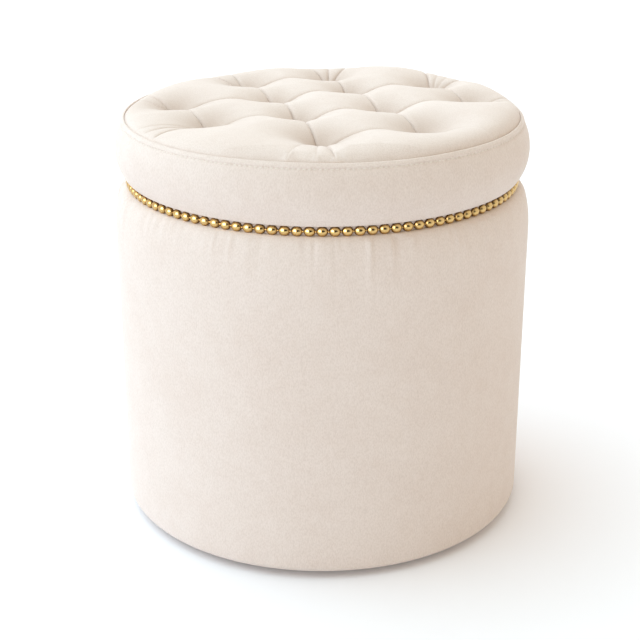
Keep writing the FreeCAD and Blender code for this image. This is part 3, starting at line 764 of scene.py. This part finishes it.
def linkPoints(look):
    # short round bar from one head to the next, lying along the strip
    half = math.pi * grooveRadius / look["count"] - look["linkOverlap"] * look["width"]
    turn = np.linspace(0, 2 * np.pi, look["linkSides"], endpoint=False)
    along = np.linspace(-1, 1, look["linkRings"])[:, None]
    x = look["linkHeight"] + look["linkRadius"] * np.cos(turn) + 0 * along
    z = look["linkRadius"] * np.sin(turn) + 0 * along
    return np.stack([x, along * half + 0 * turn, z], -1).reshape(-1, 3)


def makeHeads(name, angles, replaced, linkAngles=()):
    look = headLook
    shape, dark = headPoints(look)
    points = placedRound(shape, angles).reshape(-1, 3)
    faces = repeated(tubeFaces(look["rings"] + 1, look["sides"]), len(shape), len(angles))
    tone = np.tile(dark, len(angles))
    if len(linkAngles):
        link = linkPoints(look)
        linkFaces = tubeFaces(look["linkRings"], look["linkSides"])
        faces += repeated(linkFaces, len(link), len(linkAngles), len(points))
        points = np.concatenate([points, placedRound(link, linkAngles).reshape(-1, 3)])
        tone = np.concatenate([tone, np.full(len(link) * len(linkAngles), look["linkTone"])])
    piece = makePiece(name, points, faces, finishes["brass_plate"], "drum", replaced)
    # rimward drives the brass's patina and painted shade toward each head's foot; links sit halfway
    piece.data.attributes.new("rimward", "FLOAT", "POINT").data.foreach_set("value", tone)
    return piece


def makeTrim():
    look = headLook
    places = np.arange(look["count"])
    pitch = 2 * np.pi / look["count"]
    isNail = places % look["perNail"] == 0
    makeHeads("nailheadStrip", places[~isNail] * pitch, ("nailhead_strip",), (places + 0.5) * pitch)
    makeHeads("nailheadNails", places[isNail] * pitch, ("nailhead_nails",))


# Linings

liningLook = dict(thickness=0.8 * mm, wave=0.35 * mm, waveTop=25 * mm, waveFade=50 * mm, most=0.1 * mm,
                  hemDepth=14 * mm, hemFold=0.25 * mm, hemEase=0.4 * mm, sag=0.25 * mm, discRings=40)


def addUv(piece, u, v):
    # one UV per point, in metres, carried to the corners
    layer = piece.data.uv_layers.new(name="cloth")
    corners = np.empty(len(piece.data.loops), np.int32)
    piece.data.loops.foreach_get("vertex_index", corners)
    layer.data.foreach_set("uv", np.stack([u.ravel()[corners], v.ravel()[corners]], -1).ravel())


def makeCavityLining():
    # a tube of lining: its wall with faint upright ripples, a folded hem at the top, closed as a thin shell
    look = liningLook
    low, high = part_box("cavity_lining")
    outer = high[0]
    theta = turns(360)
    heights = np.linspace(low[2], high[2], 40)
    belowTop = high[2] - heights
    fade = np.clip((belowTop - look["waveTop"]) / look["waveFade"], 0, 1)[:, None]
    ripple = sway(theta, heights, look["wave"], 21) * fade
    hem = look["hemFold"] / (1 + np.exp((belowTop - look["hemDepth"]) / look["hemEase"]))
    inside = outer - look["thickness"] + np.minimum(ripple, look["most"]) - hem[:, None]
    outside = np.full_like(inside, outer)
    r = np.concatenate([inside, outside[::-1]])
    z = np.concatenate([heights, heights[::-1]])[:, None] + 0 * theta
    points = np.stack([r * np.cos(theta), r * np.sin(theta), z], -1)
    faces = gridFaces(len(r), len(theta), True, True)
    piece = makePiece("cavityLining", points, faces, finishes["lining_cloth"], "drum",
                      ("cavity_lining",))
    addUv(piece, outer * theta + 0 * z, z)
    return piece


def makeDisc(name, node, body, slot, rise, edge, showsTop=False):
    # a round piece on a grid of rings: flat top and bottom with a rounded edge;
    # rise(r, angle) lifts the face that shows, which is the top or the underside
    low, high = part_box(node)
    radius, bottom, top = high[0], low[2], high[2]
    middle, half = (bottom + top) / 2, (top - bottom) / 2
    theta = turns(180)
    count = liningLook["discRings"]
    rings = np.linspace(0.01, 1, count) * (radius - edge)
    bend = np.radians(np.linspace(90, -90, 7))
    r = np.concatenate([rings, radius - edge + edge * np.cos(bend), rings[::-1]])[:, None]
    z = np.concatenate([np.full(count, top), middle + half * np.sin(bend), np.full(count, bottom)])[:, None]
    shows = np.isclose(z, top if showsTop else bottom, rtol=0, atol=1e-9)
    points = np.stack([r * np.cos(theta), r * np.sin(theta), z + np.where(shows, rise(r, theta), 0)], -1)
    rows, cols = len(r), len(theta)
    faces = gridFaces(rows, cols, False, True)[:, ::-1].tolist()
    faces += [list(range(cols)), list(range(rows * cols - 1, (rows - 1) * cols - 1, -1))]
    piece = makePiece(name, points, faces, finishes[slot], body, (node,))
    addUv(piece, points[..., 0], points[..., 1])
    return piece


def makeLinings():
    # the discs lie in shallow waves: one sine across the other
    sag = liningLook["sag"]
    makeCavityLining()
    makeDisc("cavityFloor", "cavity_floor", "drum", "lining_cloth",
             lambda r, a: sag * np.sin(40 * r * np.cos(a)) * np.sin(37 * r * np.sin(a) + 1) - sag, 1.2 * mm,
             showsTop=True)
    makeDisc("lidLining", "lid_lining", "lid", "lining_cloth",
             lambda r, a: 0.6 * sag * np.sin(30 * r * np.cos(a + 0.4)) * np.sin(33 * r * np.sin(a)), 0.3 * mm)
    makeDisc("dustCover", "dust_cover", "drum", "dust_cloth",
             lambda r, a: sag * np.sin(26 * r * np.cos(a)) * np.sin(31 * r * np.sin(a) + 2), 0.2 * mm)


makeBodyCover()
makeSideBand()
makeTopPanel()
makeStitches()
makeTrim()
makeLinings()


# Floor, light and camera

stageLook = dict(floorRadius=9.0, floorSides=64, floorColour=(0.905, 0.905, 0.945), floorGlow=0.07,
                 worldBack=(1.59, 1.67, 1.73), worldFront=(0.46, 0.35, 0.205), dimToward=(0.89, -0.45, 0.08))
keyLook = dict(strength=0.85, colour=(0.53, 0.87, 1.0), angle=60.0, source=(-0.40, 0.0, 0.92))
fillLook = dict(strength=0.44, colour=(1.0, 0.90, 0.80), angle=60.0, source=(0.95, 0.25, 0.25))
# what polished metal sees of the studio: white, a dark side and a bright soft lamp, each by its direction
shineLook = dict(darkToward=(0.25, -0.95, 0.10), darkFrom=0.70, darkFull=0.96, dark=0.03,
                 boxToward=(-0.66, -0.70, 0.20), boxFrom=0.84, boxFull=0.94, box=5.5)


def makeFloor():
    angle = np.linspace(0, 2 * np.pi, stageLook["floorSides"], endpoint=False)
    ring = stageLook["floorRadius"] * np.stack([np.cos(angle), np.sin(angle), 0 * angle], -1)
    mesh = bpy.data.meshes.new("studioFloor")
    mesh.from_pydata(ring.tolist(), [], [list(range(len(ring)))])
    floor = bpy.data.objects.new("studioFloor", mesh)
    bpy.context.scene.collection.objects.link(floor)
    material, tree, shader = startMaterial("studioPaper", stageLook["floorColour"], 0.9)
    shader.inputs["Specular IOR Level"].default_value = 0.0
    shader.inputs["Emission Color"].default_value = (1, 1, 1, 1)
    path = addNode(tree, "ShaderNodeLightPath").outputs
    seen = maths(tree, "MAXIMUM", path["Is Camera Ray"], path["Is Glossy Ray"])
    tree.links.new(maths(tree, "MULTIPLY", seen, stageLook["floorGlow"]), shader.inputs["Emission Strength"])
    mesh.materials.append(material)


def makeSun(name, strength, colour, angle, source):
    lamp = bpy.data.lights.new(name, "SUN")
    lamp.energy = strength
    lamp.color = colour
    lamp.angle = math.radians(angle)
    lampObject = bpy.data.objects.new(name, lamp)
    lampObject.rotation_euler = Vector(source).to_track_quat("Z", "Y").to_euler()
    lampObject.visible_glossy = False
    bpy.context.scene.collection.objects.link(lampObject)


def makeWorld():
    # soft studio light, dimmer and warmer towards the front right;
    # the backdrop shows plain white, and metal sees shineLook
    world = bpy.data.worlds.new("studio")
    world.use_nodes = True
    tree = world.node_tree
    ray = addNode(tree, "ShaderNodeTexCoord").outputs["Generated"]

    def byDirection(toward, first, last, low, high):
        # smooth step from low to high as the ray turns toward a direction
        dot = addNode(tree, "ShaderNodeVectorMath", {0: ray, 1: Vector(toward).normalized()},
                      operation="DOT_PRODUCT").outputs["Value"]
        span = {"Value": dot, "From Min": first, "From Max": last, "To Min": low, "To Max": high}
        return addNode(tree, "ShaderNodeMapRange", span, interpolation_type="SMOOTHSTEP").outputs[0]

    light = tree.nodes["Background"]
    toFront = byDirection(stageLook["dimToward"], -1.0, 1.0, 0.0, 1.0)
    soft = blendColour(tree, toFront, stageLook["worldBack"], stageLook["worldFront"])
    tree.links.new(soft, light.inputs["Color"])
    look = shineLook
    shine = byDirection(look["darkToward"], look["darkFrom"], look["darkFull"], 1.0, look["dark"])
    lamp = byDirection(look["boxToward"], look["boxFrom"], look["boxFull"], 0.0, look["box"])
    shine = maths(tree, "ADD", shine, lamp)
    path = addNode(tree, "ShaderNodeLightPath").outputs
    level = addNode(tree, "ShaderNodeMix", {0: path["Is Camera Ray"], 2: shine, 3: 1.0}).outputs[0]
    white = addNode(tree, "ShaderNodeBackground", {"Color": (1, 1, 1, 1), "Strength": level})
    seen = maths(tree, "MAXIMUM", path["Is Camera Ray"], path["Is Glossy Ray"])
    seen = maths(tree, "MAXIMUM", seen, path["Is Transmission Ray"])
    mixed = addNode(tree, "ShaderNodeMixShader", {0: seen, 1: light.outputs[0], 2: white.outputs[0]})
    tree.links.new(mixed.outputs[0], tree.nodes["World Output"].inputs["Surface"])
    bpy.context.scene.world = world


cameraLook = dict(place=(0.0, -1.3102, 0.6965), tilt=68.446, turn=0.095, lens=78.5, sensor=36)


def makeCamera():
    camera = bpy.data.cameras.new("photoView")
    camera.lens = cameraLook["lens"]
    camera.sensor_width = cameraLook["sensor"]
    view = bpy.data.objects.new("photoView", camera)
    view.location = cameraLook["place"]
    view.rotation_euler = (math.radians(cameraLook["tilt"]), 0, math.radians(cameraLook["turn"]))
    bpy.context.scene.collection.objects.link(view)
    bpy.context.scene.camera = view


makeFloor()
makeSun("keyLight", **keyLook)
makeSun("fillLight", **fillLook)
makeWorld()
makeCamera()
bpy.context.scene.view_settings.view_transform = "Standard"
print("stage, light and camera made")
